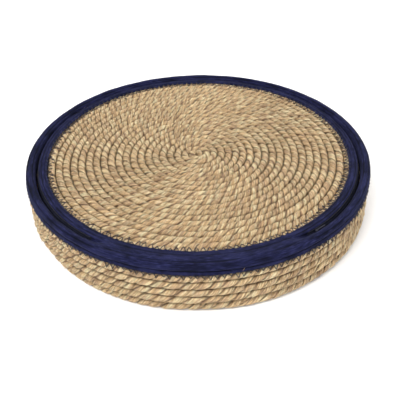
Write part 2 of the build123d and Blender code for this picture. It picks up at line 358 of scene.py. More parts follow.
def thread_material(name, dark, light):
    """Three-ply thread with a little fuzz."""
    s = Surface(name, Roughness=0.7, Specular_IOR_Level=0.3)
    s.shader.inputs["Sheen Weight"].default_value = 0.15
    split = s.node("SeparateXYZ", {0: s.attribute("fibre")})
    round_it = s.math("ARCTAN2", split.outputs[1], split.outputs[0])
    along = s.math("MULTIPLY", split.outputs[2], 5.2)
    plies = s.math("SINE", s.math("ADD", along, s.math("MULTIPLY", round_it, 3)))
    fuzz = s.noise(s.stretched(s.attribute("fibre"), 2, 2, 1.1), detail=3.0)
    colour = s.mix(s.span(plies, -0.6, 0.9), dark, light)
    colour = s.mix(s.span(fuzz, 0.35, 0.7, 0, 0.5), colour, light)
    return s.finish(colour, s.bump(plies, 0.7, 0.00012))


NAVY_DEEP = (0.003, 0.004, 0.015)
NAVY = (0.0105, 0.0120, 0.048)
NAVY_WORN = (0.034, 0.037, 0.112)
TAPE_DEEP = (0.003, 0.004, 0.007)
TAPE = (0.009, 0.010, 0.020)
TAPE_WORN = (0.019, 0.020, 0.036)
straw = straw_material()
navy_cotton = cotton_material("navy_cotton", NAVY_DEEP, NAVY, NAVY_WORN, pitch=0.8)
zip_cloth = cotton_material("zip_cloth", TAPE_DEEP, TAPE, TAPE_WORN, pitch=0.7)
navy_thread = thread_material("navy_thread", (0.003, 0.003, 0.008), (0.012, 0.012, 0.030))
straw_thread = thread_material("straw_thread", (0.30, 0.21, 0.11), (0.58, 0.45, 0.26))


# ---- straw rope ----
UNDER_BAND = (45, 53)  # heights over which the band takes hold of the wall's rope
BAND_PRESSES = 1.4  # how far it presses the rope inwards
BAND_SLIMS = 0.18  # the share by which it slims the strands
LINE_SAMPLES = 60000


def coil_angle(travel, pitch):
    """Where a coil is after some travel outwards: a turn for each pitch, from the front."""
    return math.pi * (2 * travel / pitch - 0.5)


def evenly_spaced(line, pitch, first, last, spacing, lag=0.0):
    """Distances along a coil at even spacing, and the travel at each. Lag holds the angle back."""
    travel = np.linspace(first, last, LINE_SAMPLES)
    radius, height = line(travel)
    length = distances(placed(radius, coil_angle(travel - lag, pitch), height))
    along = np.linspace(0, length[-1], int(length[-1] / spacing))
    return along, np.interp(along, length, travel)


def basket_line(travel):
    """(radius, height) of the rope's centre line: flat base, corner, wall."""
    corner = WALL_RADIUS - CORNER_RADIUS
    angle = np.clip((travel - corner) / CORNER_LENGTH, 0, 1) * math.pi / 2
    radius = np.minimum(travel, corner) + CORNER_RADIUS * np.sin(angle)
    height = BASE_Z + CORNER_RADIUS * (1 - np.cos(angle)) + np.maximum(travel - corner - CORNER_LENGTH, 0)
    return radius - BAND_PRESSES * eased(height, *UNDER_BAND), height


def mat_line(travel):
    """(radius, height) of the mat rope's centre line, which is flat."""
    return travel, np.full_like(travel, MAT_Z)


SHOULDER = 0.24  # how far a strand's edge draws in where it meets the other strand
STRAND_MIDDLE = 0.45  # the middle of a strand's section, as a share of the rope's radius
SECTION_SIDES = 12
BLADE_TURN = 0.55  # how much of the strand's own turn its blades lack
# finer ridges: their number, their height, and the wavelength and size of their drift
BLADE_RIDGES = ((8, 0.035, 22, 1.5), (13, 0.02, 14, 2.0))
STRAND_ENDS = 6  # length over which a strand tapers at its ends
GRAIN_APART = 20000  # keeps the grain of the two strands apart, and of one rope from another
GRAIN_SHIFT = 900


class Rope:
    """A coiled rope's centre line, its directions, and the twist that its two strands share."""

    def __init__(self, line, pitch, first, last, size, lay, spacing, seed):
        rng = np.random.default_rng(seed)
        self.along, travel = evenly_spaced(line, pitch, first, last, spacing)
        angle = coil_angle(travel, pitch)
        radius, height = line(travel)
        radius = radius + wander(rng, self.along, 55, 0.16) + wander(rng, self.along, 21, 0.08)
        height = height + wander(rng, self.along, 60, 0.18) + wander(rng, self.along, 23, 0.10)
        self.outward = placed(np.ones_like(angle), angle, 0.0)
        self.up = np.broadcast_to(UP, self.outward.shape)
        self.centre = self.outward * radius[:, None] + self.up * height[:, None]
        near, far = line(travel - 0.5), line(travel + 0.5)
        self.lean = np.arctan2(far[1] - near[1], far[0] - near[0])  # from one turn towards the next
        self.size = size
        self.slim = 1.0
        self.seam_shade = 0.22
        step = self.along[1] - self.along[0]
        tightness = 1 + wander(rng, self.along, 45, 0.17)
        self.twist = 2 * math.pi / lay * step * np.cumsum(tightness)

    def strand(self, name, which, seed, floor=None):
        """One of the rope's two strands. Floor is a height that it is pressed flat on."""
        rng = np.random.default_rng(seed)
        along = self.along
        turn = self.twist + which * math.pi + wander(rng, along, 45, 0.10)
        thick = 1 + wander(rng, along, 34, 0.040) + wander(rng, along, 9, 0.035)
        ends = np.minimum(along, along[-1] - along)
        thick = thick * (0.5 + 0.5 * eased(ends, 0, STRAND_ENDS))
        # the section is half a disc with rounded shoulders, its flat side towards the other strand
        sweep = np.linspace(-1, 1, SECTION_SIDES)
        edge = 1 - SHOULDER * np.abs(sweep) ** 3
        flat_x = np.array([-0.06, -0.09, -0.06])
        flat_y = np.array([0.42, 0.0, -0.42])
        section_x = np.concatenate([edge * np.cos(sweep * math.pi / 2), flat_x])
        section_y = np.concatenate([edge * np.sin(sweep * math.pi / 2), flat_y])
        round_it = np.arctan2(section_y, section_x - STRAND_MIDDLE)
        blade = round_it[None, :] - BLADE_TURN * turn[:, None] + wander(rng, along, 26, 0.6)[:, None]
        ridges = 1 + 0.035 * np.cos(5 * blade)
        for number, high, wavelength, drift in BLADE_RIDGES:
            ridges = ridges + high * np.cos(number * blade + wander(rng, along, wavelength, drift)[:, None])
        half = 0.5 * self.size * np.broadcast_to(self.slim, along.shape)[:, None]
        grown = half * thick[:, None] * ridges
        reach = half * STRAND_MIDDLE + grown * (section_x - STRAND_MIDDLE)[None, :]
        width = grown * section_y[None, :]
        cos, sin = np.cos(turn)[:, None], np.sin(turn)[:, None]
        x = reach * cos - width * sin
        y = reach * sin + width * cos
        aside = np.abs(x * np.cos(self.lean)[:, None] + y * np.sin(self.lean)[:, None]) / (self.size / 2)
        off_centre = x[..., None] * self.outward[:, None] + y[..., None] * self.up[:, None]
        points = self.centre[:, None] + off_centre
        if floor is not None:
            points[..., 2] = np.maximum(points[..., 2], floor)
        quads, fans = tube_faces(len(along), len(section_x), False)
        made = mesh_object(name, points.reshape(-1, 3), quads[:, ::-1], fans[:, ::-1])
        shift = along[:, None] + GRAIN_APART * which + GRAIN_SHIFT * (seed % 97)
        set_vectors(made, "fibre", placed(np.ones_like(blade), blade, shift).reshape(-1, 3))
        # the seam between two turns is in shade, but not down where the courses spread round the corner
        seam = eased(aside, 0.72, 1.0) * eased(self.centre[:, 2], 10, 18)[:, None]
        # depth drives painted shade in the straw's colour: it is lowest towards the crease where the two
        # strands meet, and lower still in the seams
        depth = np.hypot(reach, width) / (0.5 * self.size * thick[:, None]) - self.seam_shade * seam
        set_floats(made, "depth", depth.ravel())
        made.data.materials.append(straw)
        return made


LEAST_HEIGHT = 0.3  # no loose end reaches the ground
FIBRE_APART = 37.0  # keeps the grain of one loose end apart from the next


def stray_fibres(name, rope, count, facing, seed):
    """Ends of straw that stand off the rope. Facing is the side that they grow from, as an angle."""
    rng = np.random.default_rng(seed)
    steps = 7
    sides = 4
    t = np.linspace(0, 1, steps)
    points, quads, fans, fibres = [], [], [], []
    for n in range(count):
        at = rng.integers(60, len(rope.along) - 60)
        ahead = unit(rope.centre[at + 1] - rope.centre[at - 1])
        side = facing + rng.normal(0, 0.75)
        off = math.cos(side) * rope.outward[at] + math.sin(side) * rope.up[at]
        lean = rng.normal(0.45, 0.35)
        across = np.cross(off, ahead)
        way = ahead * math.cos(lean) + across * math.sin(lean)
        way = way * rng.choice([-1, 1])
        length = rng.uniform(3.5, 11)
        lift = rng.uniform(0.2, 1.2)
        start = rope.centre[at] + off * rope.size * rng.uniform(0.41, 0.47)
        line = start + np.outer(t * length, way) + np.outer(lift * t**1.7, off)
        line = line + np.outer(rng.normal(0, 0.5) * np.sin(2.5 * t), across)
        radius = rng.uniform(0.13, 0.30) * (1 - 0.75 * t)
        ring = tube_grid(line, radius, sides, np.broadcast_to(off, line.shape))
        ring[..., 2] = np.maximum(ring[..., 2], LEAST_HEIGHT)
        side_faces, end_faces = tube_faces(steps, sides, False, start=n * steps * sides)
        points.append(ring.reshape(-1, 3))
        quads.append(side_faces)
        fans.append(end_faces)
        tone = [rng.uniform(-1, 1), rng.uniform(-1, 1)]
        fibre = np.stack(np.broadcast_arrays(*tone, n * FIBRE_APART + t * length), -1)
        fibres.append(np.repeat(fibre, sides, axis=0))
    made = mesh_object(name, np.concatenate(points), np.concatenate(quads), np.concatenate(fans))
    set_vectors(made, "fibre", np.concatenate(fibres))
    set_floats(made, "depth", np.full(len(made.data.vertices), 1.0))
    made.data.materials.append(straw)
    return made


mat = Rope(mat_line, MAT_PITCH, 0.5, MAT_END, MAT_ROPE, MAT_LAY, 1.8, 11)
base = Rope(basket_line, BASKET_PITCH, BASKET_PITCH / 4, BASE_END, BASKET_ROPE, BASKET_LAY, 1.75, 12)
wall = Rope(basket_line, BASKET_PITCH, BASE_END, BASKET_END, BASKET_ROPE, BASKET_LAY, 1.25, 13)
mat.seam_shade = 0.13
wall.slim = 1 - BAND_SLIMS * eased(wall.centre[:, 2], *UNDER_BAND)
for which, letter in enumerate("ab"):
    for rope, part, node, body, floor in (
        (mat, "top_mat", "top_mat_rope", "lid", None),
        (base, "base", "base_rope", "cover", 0.0),
        (wall, "wall", "wall_rope", "cover", 0.0),
    ):
        piece = rope.strand(f"{part}_strand_{letter}", which, 100 + 10 * which + len(part), floor=floor)
        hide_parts(node)
        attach(piece, body)

top_fibres = stray_fibres("top_mat_stray_straw", mat, 620, math.pi / 2, 31)
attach(top_fibres, "lid")
wall_fibres = stray_fibres("wall_stray_straw", wall, 420, 0.15, 32)
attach(wall_fibres, "cover")


# ---- lacing between the turns ----
LACING_STITCH = 13.0
LACING_SWING = 0.9  # how far it works to either side of the seam between two turns
LACING_RADIUS = 0.42
LACING_ENDS = 0.75  # the share of a turn by which it starts after the rope
MAT_LACING_END = 175.0
WALL_LACING_END = 237.6


def lacing(name, line, pitch, first, last, size, seed, side):
    """A thread that works to and fro between two turns of rope, on the side away from view."""
    rng = np.random.default_rng(seed)
    along, travel = evenly_spaced(line, pitch, first, last, 2.2, lag=pitch / 2)
    sway = np.sin(2 * math.pi * along / LACING_STITCH + wander(rng, along, 60, 0.5))
    ahead = travel + LACING_SWING * sway
    radius, height = line(ahead)
    later, higher = line(ahead + 0.1)
    tilt = np.arctan2(higher - height, later - radius)
    inset = side * (0.28 * size + 0.35 * np.cos(2 * math.pi * along / LACING_STITCH))
    angle = coil_angle(travel - pitch / 2, pitch)
    path = placed(radius - inset * np.sin(tilt), angle, height + inset * np.cos(tilt))
    made = thread(name + "_thread", path, LACING_RADIUS, np.broadcast_to(UP, path.shape))
    made.data.materials.append(straw_thread)
    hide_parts(name)
    return made


mat_span = (LACING_ENDS * MAT_PITCH, MAT_LACING_END)
base_span = (LACING_ENDS * BASKET_PITCH, BASE_END)
wall_span = (BASE_END, WALL_LACING_END)
top_lacing = lacing("top_mat_lacing", mat_line, MAT_PITCH, *mat_span, MAT_ROPE, 41, -1)
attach(top_lacing, "lid")
base_lacing = lacing("base_lacing", basket_line, BASKET_PITCH, *base_span, BASKET_ROPE, 42, 1)
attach(base_lacing, "cover")
wall_lacing = lacing("wall_lacing", basket_line, BASKET_PITCH, *wall_span, BASKET_ROPE, 43, 1)
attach(wall_lacing, "cover")


# ---- navy bands ----
def smooth_profile(corners, count):
    """Evenly spaced points on a smooth curve through corners (radius, height), and distances along it."""
    corners = np.array(corners, float)
    padded = np.concatenate([2 * corners[:1] - corners[1:2], corners, 2 * corners[-1:] - corners[-2:-1]])
    padded = np.concatenate([padded, padded[-1:]])
    dense = through(padded, np.linspace(1, len(corners), 600))
    length = distances(dense)
    across = np.linspace(0, length[-1], count)
    return np.stack([np.interp(across, length, dense[:, k]) for k in (0, 1)], -1), across


def profile_normals(profile):
    """Normals of profiles (..., count, 2), to the left of the way along them."""
    ahead = unit(np.gradient(profile, axis=-2))
    return np.stack([-ahead[..., 1], ahead[..., 0]], -1)


EDGE_ROUNDING = 0.6  # how far in from an edge the cloth is rounded, as a share of its thickness


def cloth_band(name, profile, across, angles, relief, closed, thickness=CLOTH):
    """A strip of cloth with real thickness.

    Its profile is (count, 2) or, if it changes round the pad, (angles, count, 2). Relief is height off it.
    """
    count = len(across)
    profile = np.broadcast_to(profile, (len(angles), count, 2))
    normal = profile_normals(profile)
    # the cloth's edges are rounded, so its two faces draw together there
    edge = np.minimum(across, across[-1] - across)
    rounding = 1 - np.clip(edge / (EDGE_ROUNDING * thickness), 0, 1)
    half_thick = 0.5 * thickness * np.sqrt(np.clip(1 - rounding**2, 0.02, 1))
    middle = profile + normal * (relief[..., None] - 0.5 * thickness)
    outer = middle + normal * half_thick[None, :, None]
    inner = middle - normal * half_thick[None, :, None]
    loop = np.concatenate([outer, inner[:, ::-1]], axis=1)
    points = placed(loop[..., 0], angles[:, None], loop[..., 1])
    columns = 2 * count
    quads = grid_faces(len(angles), columns, closed, True)
    fans = np.zeros((0, 4), int)
    if not closed:
        j = np.arange(count - 1)
        end = np.stack([j, j + 1, columns - 2 - j, columns - 1 - j], -1)
        fans = np.concatenate([end[:, ::-1], end + (len(angles) - 1) * columns])
    made = mesh_object(name, points.reshape(-1, 3), quads, fans)
    span = np.concatenate([across, across[::-1]])
    cloth = np.stack(np.broadcast_arrays((angles * PAD_RADIUS)[:, None], span, 0.0), -1)
    set_vectors(made, "cloth", cloth.reshape(-1, 3))
    # relief also drives the painted shade in the cotton's colour
    set_floats(made, "relief", np.concatenate([relief, relief[:, ::-1]], axis=1).ravel())
    return made


def groove(across, place, width, depth):
    """A soft furrow along the cloth, as relief."""
    return -depth * np.exp(-(((across - place) / width) ** 2))


CORD_WIDTH = 1.25


def ribs(angles, across, size):
    """Fine cords woven along the cloth, which sway a little round the pad."""
    sway = 0.4 * np.sin(3 * angles)[:, None] + 0.25 * np.sin(11 * angles + 1)[:, None]
    return size * np.sin(2 * math.pi * (across[None, :] + sway) / CORD_WIDTH)


SCALLOP_REACH = 1.3


def scallops(angles, across, stitches, edge, size, rng):
    """How far the zigzag draws a sewn edge to and fro, as a shift along the cloth."""
    turns = angles / (2 * math.pi) % 1
    strength = 1 + ring_line(rng, 75, turns, 0.4)
    drift = ring_line(rng, 40, turns, 0.25)
    pull = size * strength * np.cos(angles[:, None] * stitches) + drift
    return pull * np.exp(-np.abs(across - edge)[None, :] / SCALLOP_REACH)


def puckers(angles, across, stitches, edge, reach, size, rng):
    """Small gathers where a stitch pulls the cloth, dying away from the sewn edge."""
    turns = angles / (2 * math.pi) % 1
    strength = 1 + ring_line(rng, 60, turns, 0.35)
    shift = ring_line(rng, 90, turns, 0.5)
    wave = np.cos(angles[:, None] * stitches + shift)
    return size * strength * wave * np.exp(-np.abs(across - edge)[None, :] / reach)


def uneven(rng, turns, across, *layers):
    """Relief of cloth that lies a little unevenly, in layers of (knots round the pad, wavelength, size)."""
    return sum(ring_field(rng, knots, turns, across, wavelength, size) for knots, wavelength, size in layers)


RING = np.linspace(0, 2 * math.pi, 1500, endpoint=False)
RING_TURNS = RING / (2 * math.pi)
FRONT = -math.pi / 2
TOP_STITCHES = 168
WALL_STITCHES = 192

# the lid's band runs from its inner edge on top, over the outside, to its inner edge underneath
top_corners = [
    (175.5, 60.65), (176.0, 61.35), (177.4, 61.9), (179.5, 62.25), (181.8, 62.3), (183.9, 62.0),
    (185.1, 61.3), (185.1, 60.6), (184.6, 59.6), (184.45, 58.2), (184.45, 56.0), (184.4, 53.6),
    (183.6, 52.0), (181.6, 51.2), (178.6, 51.0), (176.2, 51.05),
]
rng = np.random.default_rng(51)
profile, across = smooth_profile(top_corners, 56)
relief = uneven(rng, RING_TURNS, across, (90, 5.0, 0.13), (260, 2.2, 0.05))
meander = ring_line(rng, 16, RING_TURNS, 0.25)
relief = relief + groove(across[None, :] + meander, 3.0, 0.55, 0.42)
relief = relief + groove(across[None, :] - meander, 7.4, 0.60, 0.50)
relief = relief + groove(across[None, :] + meander, 13.5, 0.5, 0.30)
relief = relief + ribs(RING, across, 0.05)
relief = relief + puckers(RING, across, TOP_STITCHES, 0.0, 2.2, 0.16, rng)
profile = np.broadcast_to(profile, (len(RING), *profile.shape)).copy()
profile[..., 0] += scallops(RING, across, TOP_STITCHES, 0.0, 0.75, rng)
top_band = cloth_band("top_band", profile, across, RING, relief, True)
top_band.data.materials.append(navy_cotton)
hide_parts("top_binding")
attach(top_band, "lid")

# the wall's band runs from its foot inside the groove, over the rim, to its stitched foot outside
wall_corners = [
    (189.1, 48.7), (189.0, 52.0), (189.0, 55.5), (189.3, 58.2), (190.1, 60.4), (191.6, 62.1), (193.6, 63.2),
    (195.7, 63.4), (197.6, 62.8), (199.0, 61.5), (199.7, 59.8), (199.8, 58.2), (199.4, 57.0), (199.5, 55.8),
    (200.0, 54.0), (200.1, 51.6),
]
profile, across = smooth_profile(wall_corners, 64)
rng = np.random.default_rng(52)
relief = uneven(rng, RING_TURNS, across, (90, 5.0, 0.14), (280, 2.2, 0.05))
meander = ring_line(rng, 16, RING_TURNS, 0.3)
relief = relief + groove(across[None, :] + meander, 14.2, 0.60, 0.50)
relief = relief + groove(across[None, :] - meander, 20.6, 0.60, 0.45)
# a deep furrow where the band turns down its outside, which the cotton's colour also darkens as painted
# shade
relief = relief + groove(across[None, :] + 0.5 * meander, across[-1] - 5.3, 0.75, 0.8)
relief = relief + ribs(RING, across, 0.05)
relief = relief + puckers(RING, across, WALL_STITCHES, across[-1], 2.4, 0.16, rng)
profile = np.broadcast_to(profile, (len(RING), *profile.shape)).copy()
profile[..., 1] += scallops(RING, across, WALL_STITCHES, across[-1], 0.65, rng)
wall_band = cloth_band("wall_band", profile, across, RING, relief, True)
wall_band.data.materials.append(navy_cotton)
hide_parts("wall_binding")
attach(wall_band, "cover")

# the front panel lies over both bands and the groove, and sinks into them at its two ends
PANEL_HALF = math.radians(37)
PANEL_FULL = math.radians(27)  # up to here it lies at its full height
panel_angles = np.linspace(FRONT - PANEL_HALF, FRONT + PANEL_HALF, 420)
panel_top = [
    (175.75, 61.0), (176.3, 61.75), (178.2, 62.3), (181.5, 62.9), (185.5, 63.3), (189.5, 63.6),
    (193.5, 63.75), (196.8, 63.4), (199.0, 62.3), (200.35, 60.6), (200.8, 58.8), (200.6, 57.3),
]
panel_end = [
    (176.3, 60.6), (177.2, 61.2), (179.3, 61.6), (181.6, 61.5), (184.4, 59.4), (185.6, 57.0),
    (188.2, 57.2), (189.6, 60.6), (193.6, 62.7), (198.4, 61.5), (199.7, 59.6), (199.6, 57.6),
]
rng = np.random.default_rng(53)
full, across = smooth_profile(panel_top, 60)
sunk, _ = smooth_profile(panel_end, 60)
fade = eased(np.abs(panel_angles - FRONT), PANEL_FULL, PANEL_HALF)[:, None, None]
profile = full * (1 - fade) + sunk * fade
panel_turns = panel_angles / (2 * math.pi) % 1
relief = uneven(rng, panel_turns, across, (70, 6.0, 0.16), (250, 2.6, 0.05))
meander = ring_line(rng, 14, panel_turns, 0.5)
relief = relief + groove(across[None, :] + meander, 8.5, 0.9, 0.30)
relief = relief + groove(across[None, :] - meander, 18.5, 1.0, 0.30)
# a furrow along the panel's lower edge, whose low relief paints a dark line there: painted shade under the
# edge
relief = relief + groove(across[None, :], across[-1] - 0.1, 0.45, 0.45)
relief = relief + ribs(panel_angles, across, 0.06)
relief = relief + puckers(panel_angles, across, TOP_STITCHES, 0.0, 2.4, 0.18, rng)
panel = cloth_band("panel_cloth", profile, across, panel_angles, relief, False, thickness=0.7)
panel.data.materials.append(navy_cotton)
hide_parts("hinge_panel")
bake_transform(panel)


# ---- zigzag threads ----
STITCH_RADIUS = 0.42
STITCH_STEPS = 6
STITCH_JITTER = 0.15  # how unevenly the stitches are spaced and how unevenly far they reach
STITCH_SPREAD = 0.18
TOP_STITCH_HOLD = 1.3  # how far onto the band the zigzag reaches, and how far it swings from there
TOP_STITCH_REACH = 7.6
WALL_STITCH_TOP = 52.6
WALL_STITCH_REACH = 6.2
WALL_BAND_FOOT = 51.4
MAT_STITCH_LIFT = 0.5  # how far the thread lies off the straw
WALL_STITCH_LIFT = 0.55


def rope_top(radius, angle, rope_size, pitch, least):
    """How far a coil's rope stands out from its centre line, its round top eased between the turns."""
    turn = radius / pitch - angle / (2 * math.pi) - 0.25
    off = (turn - np.round(turn)) * pitch
    return np.sqrt(np.maximum((rope_size / 2) ** 2 - off**2, least)) * 0.95


def zigzag(stitches, place, rng):
    """A thread to and fro between two edges.

    Place turns (angle, share of the way, reach) into points and outward directions.
    """
    swing = np.arange(2 * stitches * STITCH_STEPS) / STITCH_STEPS
    share = np.abs((swing % 2) - 1)
    which = np.floor(swing / 2).astype(int) % stitches
    jitter = rng.normal(0, STITCH_JITTER, stitches)[which]
    reach = 1 + rng.normal(0, STITCH_SPREAD, stitches)[which]
    angle = (swing + jitter * (1 - share)) * math.pi / stitches
    return place(angle, np.clip(share, 0.03, 0.97), reach)


def top_stitch_place(angle, share, reach):
    """On the band's inner edge and the mat's outer turn."""
    radius = BAND_INNER + TOP_STITCH_HOLD - (1 - share) * TOP_STITCH_REACH * reach
    on_cloth = 61.75 + 0.35 * (radius - BAND_INNER)
    on_panel = 0.55 * (1 - eased(np.abs(angle - FRONT - 2 * math.pi), PANEL_FULL, PANEL_HALF))
    on_rope = MAT_Z + rope_top(radius, angle, MAT_ROPE, MAT_PITCH, 11.0) + MAT_STITCH_LIFT
    points = placed(radius, angle, np.where(radius > BAND_INNER, on_cloth + on_panel, on_rope))
    return points, np.broadcast_to(UP, points.shape)


def wall_stitch_place(angle, share, reach):
    """On the foot of the wall's band and the course below it."""
    height = WALL_STITCH_TOP - (1 - share) * WALL_STITCH_REACH * reach
    travel = (height - BASE_Z - CORNER_RADIUS) + WALL_RADIUS - CORNER_RADIUS + CORNER_LENGTH
    on_rope = WALL_RADIUS + rope_top(travel, angle, BASKET_ROPE, BASKET_PITCH, 12.0) + WALL_STITCH_LIFT
    radius = np.where(height > WALL_BAND_FOOT, PAD_RADIUS + 0.35, on_rope)
    return placed(radius, angle, height), placed(np.ones_like(angle), angle, 0.0)


for name, stitches, place, body, seed in (
    ("top_binding_stitch", TOP_STITCHES, top_stitch_place, "lid", 61),
    ("wall_binding_stitch", WALL_STITCHES, wall_stitch_place, "cover", 62),
):
    line, outward = zigzag(stitches, place, np.random.default_rng(seed))
    stitch = thread(name + "_thread", line, STITCH_RADIUS, outward, closed=True)
    stitch.data.materials.append(navy_thread)
    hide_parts(name)
    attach(stitch, body)


# ---- the zip ----
zip_angles = np.linspace(ZIP_START, ZIP_END, 760)
zip_turns = (zip_angles - ZIP_START) / (2 * math.pi)
TAPE_THICKNESS = 0.4
upper_route = [
    (CHAIN_RADIUS, 54.5), (CHAIN_RADIUS, 55.6), (186.6, 56.6), (185.6, 57.4),
    (184.95, 58.2), (184.9, 59.5), (184.9, 60.9),
]
lower_route = [
    (CHAIN_RADIUS, 51.4), (CHAIN_RADIUS, 50.2), (186.9, 49.0), (187.9, 48.3), (188.6, 47.4),
    (188.65, 45.5), (188.65, 43.0), (188.65, 40.2),
]
for name, route, body, flat, seed in (
    ("zip_tape_upper", upper_route, "lid", (0.0100, 0.942), 71),
    ("zip_tape_lower", lower_route, "cover", (0.0125, 0.942), 72),
):
    profile, across = smooth_profile(route, 14)
    relief = ring_field(np.random.default_rng(seed), 60, zip_turns, across, 5.0, 0.03)
    tape = cloth_band(name + "_cloth", profile, across, zip_angles, relief, False, thickness=TAPE_THICKNESS)
    tape.data.materials.append(zip_cloth)
    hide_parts(name)
    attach(tape, body)


COIL_PITCH = 1.35
COIL_START = math.radians(-53.5)
COIL_END = math.radians(233.4)
COIL_STEPS = 9
COIL_REACH = 0.62  # half the width of a row, and how far the rows' middles lie above and below the chain's
FILAMENT_RADIUS = 0.19


def coil_row(name, side, body):
    """One row of the zip: a filament wound round the tape's edge."""
    turns = int((COIL_END - COIL_START) * CHAIN_RADIUS / COIL_PITCH)
    phase = np.arange(turns * COIL_STEPS) * 2 * math.pi / COIL_STEPS
    angle = COIL_START + phase / (2 * math.pi) * COIL_PITCH / CHAIN_RADIUS
    middle = CHAIN_Z + side * COIL_REACH
    height = middle + side * (0.28 * np.sin(phase) + 0.10 * np.sin(phase) ** 3)
    line = placed(CHAIN_RADIUS + COIL_REACH * np.cos(phase), angle, height)
    outward = line - placed(CHAIN_RADIUS, angle, middle)
    made = thread(name + "_filament", line, FILAMENT_RADIUS, outward, sides=5)
    made.data.materials.append(nylon)
    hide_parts(name)
    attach(made, body)


def nylon_material():
    """Black nylon, scuffed a little paler along the filament."""
    s = Surface("nylon", Roughness=0.38, Specular_IOR_Level=0.5)
    split = s.node("SeparateXYZ", {0: s.attribute("fibre")})
    scuff = s.noise(s.stretched(s.attribute("fibre"), 1, 1, 0.9), detail=3.0)
    colour = s.ramp(
        scuff,
        (0.35, (0.010, 0.010, 0.012)),
        (0.60, (0.022, 0.022, 0.026)),
        (0.75, (0.05, 0.05, 0.055)),
    )
    marks = s.math("SINE", s.math("MULTIPLY", split.outputs[2], 1.7))
    return s.finish(colour, s.bump(s.math("ADD", scuff, s.math("MULTIPLY", marks, 0.1)), 0.3, 0.0001))


def enamel_material():
    """Dark enamel on zinc, with metal showing through along worn edges."""
    s = Surface("enamel", Roughness=0.6, Specular_IOR_Level=0.25)
    place = s.node("TexCoord").outputs["Object"]
    wear = s.noise(place, scale=900, detail=4.0, roughness=0.65)
    broad = s.noise(place, scale=250, detail=2.0)
    pointed = s.node("NewGeometry").outputs["Pointiness"]
    edge = s.span(s.math("ADD", pointed, s.math("MULTIPLY", wear, 0.05)), 0.555, 0.60)
    colour = s.ramp(broad, (0.3, (0.008, 0.009, 0.018)), (0.7, (0.015, 0.016, 0.030)))
    colour = s.mix(s.math("MULTIPLY", edge, 0.3), colour, (0.05, 0.05, 0.06))
    return s.finish(colour, s.bump(wear, 0.15, 0.0001), s.span(wear, 0.3, 0.7, 0.52, 0.70))


nylon = nylon_material()
enamel = enamel_material()
coil_row("zip_coil_upper", 1, "lid")
coil_row("zip_coil_lower", -1, "cover")

SEAM_STITCH = 2.6
SEAM_DIP = 0.16
SEAM_RADIUS = 0.26
SEAM_ENDS = 0.006  # radians by which a seam is shorter than its tape at each end
for name in ("zip_seam_upper", "zip_seam_lower"):
    low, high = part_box(name)
    seam_height = (low.z + high.z) / 2 / MM
    seam_radius = (high.x - (high.z - low.z) / 2) / MM
    angle = np.linspace(ZIP_START + SEAM_ENDS, ZIP_END - SEAM_ENDS, 2200)
    dip = SEAM_DIP * np.cos(angle * seam_radius * 2 * math.pi / SEAM_STITCH)
    outward = 1 if name == "zip_seam_upper" else -1
    line = placed(seam_radius + outward * (dip - 0.05), angle, seam_height)
    seam = thread(name + "_thread", line, SEAM_RADIUS, np.broadcast_to(UP, line.shape), sides=5)
    seam.data.materials.append(navy_thread)
    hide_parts(name)
    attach(seam, "lid" if name.endswith("upper") else "cover")

for name in ("zip_top_stop_upper", "zip_top_stop_lower", "zip_bottom_stop", "zip_slider", "zip_pull"):
    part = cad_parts[name]
    part.data.materials.clear()
    part.data.materials.append(enamel)
    bevel = part.modifiers.new("edges", "BEVEL")
    bevel.width = 0.15 * MM
    bevel.segments = 2
    bevel.limit_method = "ANGLE"
    bevel.harden_normals = True


# ---- the core ----
def foam_material():
    """Pale yellow foam with open cells."""
    s = Surface("foam", Roughness=0.95, Specular_IOR_Level=0.2)
    place = s.node("TexCoord").outputs["Object"]
    cells = s.node("TexVoronoi", {"Vector": place, "Scale": 900.0}).outputs["Distance"]
    broad = s.noise(place, scale=30, detail=2.0)
    colour = s.ramp(broad, (0.35, (0.68, 0.62, 0.44)), (0.7, (0.80, 0.76, 0.60)))
    colour = s.mix(s.span(cells, 0.45, 0.1, 0.0, 0.5), colour, (0.45, 0.40, 0.27))
    return s.finish(colour, s.bump(cells, 0.6, 0.0004))


def calico_material():
    """Unbleached calico: plain weave with slubs, creases and seed specks."""
    s = Surface("calico", Roughness=0.9, Specular_IOR_Level=0.2)
    s.shader.inputs["Sheen Weight"].default_value = 0.15
    place = s.node("TexCoord").outputs["Object"]
    split = s.node("SeparateXYZ", {0: place})
    across = s.math("ADD", split.outputs[0], split.outputs[2])
    along = s.math("ADD", split.outputs[1], split.outputs[2])
    step = 2 * math.pi / (0.9 * MM)
    warp = s.math("SINE", s.math("MULTIPLY", across, step))
    weft = s.math("SINE", s.math("MULTIPLY", along, step))
    weave = s.math("MULTIPLY", warp, weft)
    slubs = s.noise(s.stretched(place, 120, 900, 900), detail=3.0)
    creases = s.noise(place, scale=14, detail=3.0)
    specks = s.noise(place, scale=420, detail=1.0)
    colour = s.ramp(creases, (0.3, (0.60, 0.55, 0.44)), (0.7, (0.74, 0.70, 0.60)))
    colour = s.mix(s.span(slubs, 0.55, 0.75, 0, 0.4), colour, (0.80, 0.76, 0.66))
    colour = s.mix(s.span(specks, 0.76, 0.80, 0, 0.8), colour, (0.28, 0.20, 0.11))
    colour = s.mix(s.span(weave, -1, 0, 0.3, 0), colour, (0.42, 0.37, 0.28))
    normal = s.bump(weave, 0.4, 0.0002)
    normal = s.bump(creases, 0.25, 0.004, normal)
    return s.finish(colour, s.bump(slubs, 0.3, 0.0004, normal))


foam = foam_material()
calico = calico_material()


